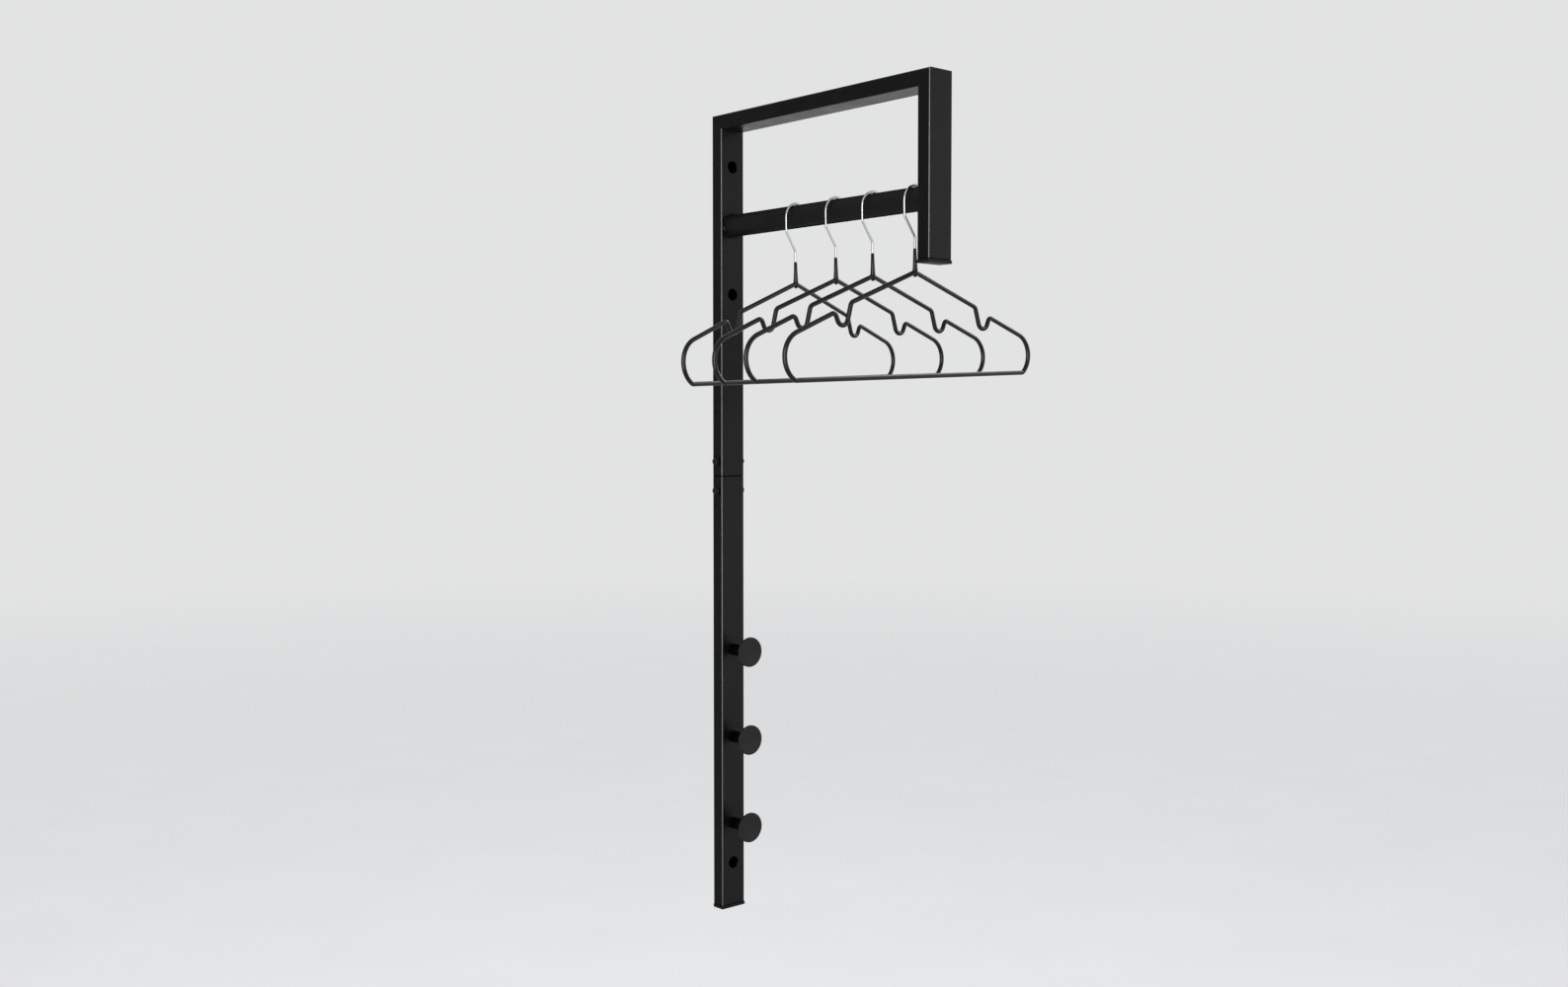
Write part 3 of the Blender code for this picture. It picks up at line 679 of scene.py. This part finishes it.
def bead_mesh():
    """Rippled weld bead round the rail, standing on a wall at height zero."""
    radius = RAIL_DIAMETER / 2
    root = radius - RAIL_WALL / 2
    steps = BEAD_RIPPLES * RIPPLE_STEPS
    rings = []
    for i in range(steps):
        angle = 2 * math.pi * i / steps
        ripple = 0.5 - (i % RIPPLE_STEPS) / RIPPLE_STEPS
        size = BEAD * (1 + BEAD_RIPPLE * ripple + BEAD_WAVE * math.sin(BEAD_WAVES * angle))
        ring = []
        for step in range(BEAD_STEPS + 1):
            slope = math.pi / 2 * step / BEAD_STEPS
            ring.append(around(radius + size * math.cos(slope), angle, size * math.sin(slope)))
        ring.append(around(root, angle, size / 2))
        ring.append(around(root, angle, 0))
        rings.append(ring)
    return loft(rings, wrap=True)


def make_rail(gloss, weld):
    radius = RAIL_DIAMETER / 2
    bore = radius - RAIL_WALL
    length = REACH - 2 * TUBE_DEPTH
    rail = turned([(radius, 0), (radius, length), (bore, length), (bore, 0)], FINE_SIDES, wrap=True)
    at_post = Matrix.Translation((0, -TUBE_DEPTH, RAIL_AXIS)) @ OUTWARD
    at_leg = Matrix.Translation((0, TUBE_DEPTH - REACH, RAIL_AXIS)) @ OUTWARD.inverted()
    piece("hanging_rail_coated", rail, gloss, "rack", ["hanging_rail"], at_post)
    for name, place in (("rail_bead_post", at_post), ("rail_bead_leg", at_leg)):
        piece(name, bead_mesh(), weld, "rack", matrix=place, sharp=BEAD_SHARP_EDGE)


def screw_mesh(low, high):
    """Cap head with a hexagon socket and its shank, along Z with the head's underside at zero."""
    radius = (high.z - low.z) / 2
    shank = SCREW_SHANK / 2
    length = high.x - low.x - SOLID_HEAD
    profile = [(shank - SCREW_EASE, -length), (shank, SCREW_EASE - length), (shank, 0)]
    profile += [(radius - SCREW_EASE, 0), (radius, SCREW_EASE)]
    # Shares of wear and painted glint for each ring of the head
    wear_and_sheen = [0, 0, 0, HEAD_FOOT_WEAR_AND_SHEEN, HEAD_FOOT_WEAR_AND_SHEEN]
    profile += eased(radius - HEAD_ROUND, HEAD_HEIGHT - HEAD_ROUND, HEAD_ROUND, 0, CORNER_STEPS)
    wear_and_sheen += [HEAD_WEAR_AND_SHEEN * math.sin(math.pi * step / CORNER_STEPS) for step in range(CORNER_STEPS + 1)]
    rings = [circle(reach, height, HOLE_SIDES) for reach, height in profile]
    rings.append(hexagon(SOCKET_ACROSS + 2 * SCREW_EASE, HEAD_HEIGHT, HOLE_SIDES))
    rings.append(hexagon(SOCKET_ACROSS, HEAD_HEIGHT - SCREW_EASE, HOLE_SIDES))
    rings.append(hexagon(SOCKET_ACROSS, HEAD_HEIGHT - SOCKET_DEPTH, HOLE_SIDES))
    mesh = loft(rings)
    mark_rings(mesh, wear_and_sheen + SOCKET_WEAR_AND_SHEEN)
    return mesh


def make_screws(steel):
    for side, sign in (("left", -1), ("right", 1)):
        for level, spin in SOCKET_SPINS.items():
            node = f"joint_screw_{side}_{level}"
            low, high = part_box(node)
            face = sign * (max(abs(low.x), abs(high.x)) - SOLID_HEAD)
            place = Matrix.Translation((face, (low.y + high.y) / 2, (low.z + high.z) / 2))
            place = place @ Matrix.Rotation(sign * math.pi / 2, 4, "Y")
            place = place @ Matrix.Rotation(math.radians(spin), 4, "Z")
            mesh = screw_mesh(low, high)
            piece(f"{node}_finished", mesh, steel, "rack", [node], place)


def disc_mesh(radius, thickness):
    """Knob plate along Z with round edges and a blind hole for the stud in its back."""
    hole = STUD_BORE / 2
    profile = [(hole, STUD_SEAT), (hole, 0)]
    plain = len(profile)
    profile += eased(radius - KNOB_EDGE, KNOB_EDGE, KNOB_EDGE, -90)
    profile += eased(radius - KNOB_EDGE, thickness - KNOB_EDGE, KNOB_EDGE, 0)
    mesh = turned(profile, FINE_SIDES)
    # The disc's round edges get wear and a painted highlight
    mark_rings(mesh, [0] * plain + [KNOB_WEAR_AND_SHEEN] * (len(profile) - plain))
    return mesh


def stem_mesh(radius, length):
    """Round spacer along Z with a hole for the stud."""
    hole = STUD_BORE / 2
    profile = [(hole, 0)]
    profile += eased(radius - END_EASE, END_EASE, END_EASE, -90, STEM_EASE_STEPS)
    profile += eased(radius - END_EASE, length - END_EASE, END_EASE, 0, STEM_EASE_STEPS)
    profile.append((hole, length))
    return turned(profile, ROUND_SIDES, wrap=True)


def make_knobs(coat, flat):
    kinds = (("disc", disc_mesh, coat, "satin_coat"), ("stem", stem_mesh, flat, "gloss_coat"))
    for number in (1, 2, 3):
        for kind, shape, material, slot in kinds:
            node = f"knob_{kind}_{number}"
            low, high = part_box(node)
            mesh = shape((high.z - low.z) / 2, high.y - low.y)
            place = Matrix.Translation((0, high.y, (low.z + high.z) / 2)) @ OUTWARD
            piece(f"{node}_coated", mesh, material, "rack", [node], place, weighted=True)


# Hangers


def hanger_corners(half_span, slope_degrees, end_bend, turn_degrees):
    """Corners of half a frame: out from the middle, down from the crotch, and bend radius.

    The end is an arc of end_bend from the shoulder's slope to a turn past its widest point.
    """
    slope = math.radians(slope_degrees)
    turn = math.radians(turn_degrees)
    lip_out = NOTCH_REACH + NOTCH_WIDTH
    lip_down = NOTCH_FALL + NOTCH_STEP
    end_out = half_span - end_bend
    end_down = lip_down + (end_bend + (end_out - lip_out) * math.sin(slope)) / math.cos(slope)
    sweep = math.pi / 2 + turn - slope
    aim = turn - sweep / 2
    corner_reach = end_bend / math.cos(sweep / 2)
    bar_out = end_out + end_bend * math.cos(turn) - BAR_RUN * math.sin(turn)
    bar_down = end_down + end_bend * math.sin(turn) + BAR_RUN * math.cos(turn)
    return (
        (0, 0, CROTCH_BEND),
        (NOTCH_REACH, NOTCH_FALL, INNER_LIP_BEND),
        (NOTCH_REACH + NOTCH_SLANT, NOTCH_FALL + NOTCH_DEPTH, NOTCH_BEND),
        (lip_out, lip_down, OUTER_LIP_BEND),
        (end_out + corner_reach * math.cos(aim), end_down + corner_reach * math.sin(aim), end_bend),
        (bar_out, bar_down, BAR_BEND),
    )


def neck_mesh():
    """Dipped neck along Z about the crotch: nub, bulb over the wires, flare, and sleeve up to the hook."""
    profile = (
        (NECK_TOP - NUB_ROUND, -NUB_DROP),
        (NECK_TOP - NUB_EASE, NUB_EASE - NUB_DROP),
        (NECK_TOP, NUB_ROUND - NUB_DROP),
        (NECK_BULB - NECK_EASE, -BULB_HEIGHT / 2 - BULB_EASE),
        (NECK_BULB, -BULB_HEIGHT / 4),
        (NECK_BULB, BULB_HEIGHT / 4),
        (NECK_BULB - NECK_EASE, BULB_HEIGHT / 2 + BULB_EASE),
        (NECK_BASE + NECK_EASE, NECK_FLARE - FLARE_EASE),
        (NECK_BASE, NECK_FLARE + FLARE_EASE),
        (NECK_TOP, NECK_RISE - NECK_LIP),
        (NECK_TOP - NECK_LIP, NECK_RISE),
        (HOOK_WIRE / 2, NECK_RISE),
    )
    return turned(profile, NECK_SIDES)


def hanger_frame_mesh():
    """The closed loop of coated wire with the dipped neck over its crotch."""
    right = hanger_corners(**RIGHT_END)
    left = hanger_corners(**LEFT_END)
    corners = [(Vector((out, 0, -NECK_DROP - down)), radius) for out, down, radius in right]
    corners += [(Vector((-out, 0, -NECK_DROP - down)), radius) for out, down, radius in left[:0:-1]]
    loop = loft(wire_rings(filleted(corners), FRAME_WIRE / 2, closed=True), wrap=True)
    return combined(loop, [(neck_mesh(), Matrix.Translation((0, 0, -NECK_DROP)))], "UNION")


def hanger_hook_mesh():
    """Stem, bend, slanting run, bend, upright side and the arc over the rail, with a rounded tip."""
    foot = Vector((0, 0, STEM_FOOT - NECK_DROP))
    bend = Vector((0, 0, HOOK_BEND_RISE - NECK_DROP))
    side = Vector((HOOK_SHIFT - HOOK_RADIUS, 0, -HOOK_SIDE_DROP))
    middle = Vector((HOOK_SHIFT, 0, -HOOK_SAG))
    arc = math.pi + math.radians(HOOK_TIP)
    count = math.ceil(math.degrees(arc) / HOOK_STEP)
    over = []
    for step in range(count + 1):
        angle = math.pi - arc * step / count
        over.append(middle + Vector((math.cos(angle), 0, math.sin(angle))) * HOOK_RADIUS)
    runs = [(foot, 0), (bend, HOOK_BEND_RADIUS), (side, HOOK_SIDE_BEND), (over[0], 0)]
    path = filleted(runs) + over[1:]
    rings = wire_rings(path, HOOK_WIRE / 2)
    tip = path[-1]
    ahead = (tip - path[-2]).normalized()
    last = rings[-1]
    for step in range(1, TIP_STEPS):
        angle = math.pi / 2 * step / TIP_STEPS
        push = ahead * (HOOK_WIRE / 2 * math.sin(angle))
        rings.append([tip + push + (point - tip) * math.cos(angle) for point in last])
    return loft(rings)


def hanger_piece(body, kind, finish, mesh, material, place):
    """One piece of a hanger, with its own copy of the mesh."""
    node = f"{body}_{kind}"
    name = f"{node}_{finish}"
    return piece(name, mesh.copy(), material, body, [node], place, sharp=WIRE_SHARP_EDGE)


def make_hangers(coating, plate):
    """The frame and the hook of each hanger, given back as two lists."""
    frame_mesh = hanger_frame_mesh()
    hook_mesh = hanger_hook_mesh()
    frames = []
    hooks = []
    for i, (turn, lean) in enumerate(zip(HANGER_TURNS, HANGER_LEANS), 1):
        body = f"hanger_{i}"
        low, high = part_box(f"{body}_hook")
        turn = math.radians(turn)
        along = (low.y + high.y) / 2 - HOOK_SHIFT * math.sin(turn)
        place = Matrix.Translation((-HOOK_SHIFT, along, RAIL_AXIS))
        place = place @ Matrix.Rotation(turn, 4, "Z") @ Matrix.Rotation(math.radians(lean), 4, "Y")
        frames.append(hanger_piece(body, "frame", "coated", frame_mesh, coating, place))
        hooks.append(hanger_piece(body, "hook", "plated", hook_mesh, plate, place))
    return frames, hooks


# Studio


def card(name, width, height):
    """Flat rectangle about its own origin, in the XY plane."""
    x, y = width / 2, height / 2
    mesh = bpy.data.meshes.new(name)
    mesh.from_pydata([(-x, -y, 0), (x, -y, 0), (x, y, 0), (-x, y, 0)], [], [(0, 1, 2, 3)])
    return added(name, mesh)


def make_floor():
    """Pale floor that keeps the rack's shadow and passes into the backdrop far from it."""
    floor = card("floor", FLOOR_SIZE, FLOOR_SIZE)
    floor.location.z = -FLOOR_DROP
    paint = Finish("pale_floor", Roughness=0.9, Specular_IOR_Level=0.1)
    speckle = paint.ranged(paint.noise(3, 3), 0, 1)
    paint.colour(paint.mixed(speckle, (0.84, 0.84, 0.845), (0.86, 0.86, 0.865)))
    span = paint.nodes.new("ShaderNodeVectorMath")
    span.operation = "LENGTH"
    paint.join(paint.place, span.inputs[0])
    far = paint.nodes.new("ShaderNodeEmission")
    far.inputs["Color"].default_value = PALE
    mix = paint.nodes.new("ShaderNodeMixShader")
    paint.join(paint.ranged(span.outputs["Value"], 0, 1, *FLOOR_FADE), mix.inputs["Fac"])
    paint.join(paint.shader.outputs["BSDF"], mix.inputs[1])
    paint.join(far.outputs["Emission"], mix.inputs[2])
    paint.join(mix.outputs["Shader"], paint.nodes["Material Output"].inputs["Surface"])
    floor.data.materials.append(paint.material)
    return floor


def make_world():
    """Pale where the camera and mirrors look, and a plain level of light on everything else."""
    world = bpy.data.worlds.new("studio")
    bpy.context.scene.world = world
    world.use_nodes = True
    nodes = world.node_tree.nodes
    link = world.node_tree.links.new

    def either(first, second):
        node = nodes.new("ShaderNodeMath")
        node.operation = "MAXIMUM"
        link(first, node.inputs[0])
        link(second, node.inputs[1])
        return node.outputs["Value"]

    light = nodes["Background"]
    light.inputs["Color"].default_value = AMBIENT_COLOUR
    light.inputs["Strength"].default_value = AMBIENT
    seen = nodes.new("ShaderNodeBackground")
    seen.inputs["Color"].default_value = PALE
    seen.inputs["Strength"].default_value = 1.0
    rays = nodes.new("ShaderNodeLightPath").outputs
    mirror = either(rays["Is Glossy Ray"], rays["Is Transmission Ray"])
    mix = nodes.new("ShaderNodeMixShader")
    link(either(rays["Is Camera Ray"], mirror), mix.inputs["Fac"])
    link(light.outputs["Background"], mix.inputs[1])
    link(seen.outputs["Background"], mix.inputs[2])
    link(mix.outputs["Shader"], nodes["World Output"].inputs["Surface"])


def aimed(place, target):
    return (Vector(target) - Vector(place)).to_track_quat("-Z", "Y").to_euler()


def add_lamp(name, place, size, watts, target=RACK_MIDDLE, gloss_only=False, only=(), spared=()):
    """Rectangular lamp aimed at a target, which reaches only some objects or spares others."""
    data = bpy.data.lights.new(name, "AREA")
    data.shape = "RECTANGLE"
    data.size, data.size_y = size
    data.energy = watts
    lamp = added(name, data)
    lamp.location = place
    lamp.rotation_euler = aimed(place, target)
    lamp.visible_camera = False
    lamp.visible_diffuse = not gloss_only
    group = bpy.data.collections.new(f"{name}_pieces")
    for obj in only or spared:
        group.objects.link(obj)
    for row in group.collection_objects:
        row.light_linking.link_state = "INCLUDE" if only else "EXCLUDE"
    lamp.light_linking.receiver_collection = group


def make_lamps(frames, hooks, floor):
    """Two soft panels on the rack, one on the floor, and three that only make gloss."""
    reaches = {
        "window_softbox": {"spared": [floor]},
        "front_fill": {"spared": [floor]},
        "floor_light": {"only": [floor]},
        "edge_strip": {"spared": [*frames, *hooks, floor]},
        "wire_window": {"only": frames},
        "high_panel": {"only": frames},
    }
    for name, values in LAMPS.items():
        add_lamp(name, **values, **reaches[name])


def make_flag():
    """Dark card on the left, behind the rack, that only reflections show."""
    flag = card("left_flag", *FLAG_SIZE)
    flag.location = FLAG_PLACE
    flag.rotation_euler = aimed(FLAG_PLACE, RACK_MIDDLE)
    flag.visible_camera = False
    flag.visible_diffuse = False
    flag.visible_shadow = False
    cloth = Finish("dark_flag", Roughness=0.9, Specular_IOR_Level=0.0)
    weave = cloth.ranged(cloth.noise(40, 2), 0, 1)
    cloth.colour(cloth.mixed(weave, (0.36, 0.36, 0.36), (0.432, 0.432, 0.432)))
    flag.data.materials.append(cloth.material)


def make_camera():
    data = bpy.data.cameras.new("photo_camera")
    data.sensor_width = SENSOR
    data.lens = SENSOR * FOCAL_PIXELS / PHOTO_WIDTH
    camera = added("photo_camera", data)
    camera.location = CAMERA_PLACE
    camera.rotation_euler = (math.radians(90 - CAMERA_TIP), 0, math.radians(-CAMERA_TURN))
    bpy.context.scene.camera = camera


def finish_kept_nodes(materials):
    """Gives each CAD node its slot's finish, which shows on the nodes that no piece replaces."""
    for row in frame["record"]["subparts"]:
        mesh = frame["nodes"][row["node"]].data
        mesh.materials.clear()
        mesh.materials.append(materials[row["material_slot"]])


def main():
    coats = (satin_coat, gloss_coat, stem_coat, weld_coat, wire_coating)
    others = (black_plastic, zinc_steel, black_screw, chrome)
    materials = {make.__name__: make() for make in coats + others}
    finish_kept_nodes(materials)
    make_posts(materials["satin_coat"])
    make_arm(materials["satin_coat"])
    make_leg(materials["satin_coat"])
    make_rail(materials["gloss_coat"], materials["weld_coat"])
    make_screws(materials["black_screw"])
    make_knobs(materials["satin_coat"], materials["stem_coat"])
    frames, hooks = make_hangers(materials["wire_coating"], materials["chrome"])
    floor = make_floor()
    make_world()
    make_lamps(frames, hooks, floor)
    make_flag()
    make_camera()
    bpy.context.scene.view_settings.view_transform = "Standard"


main()
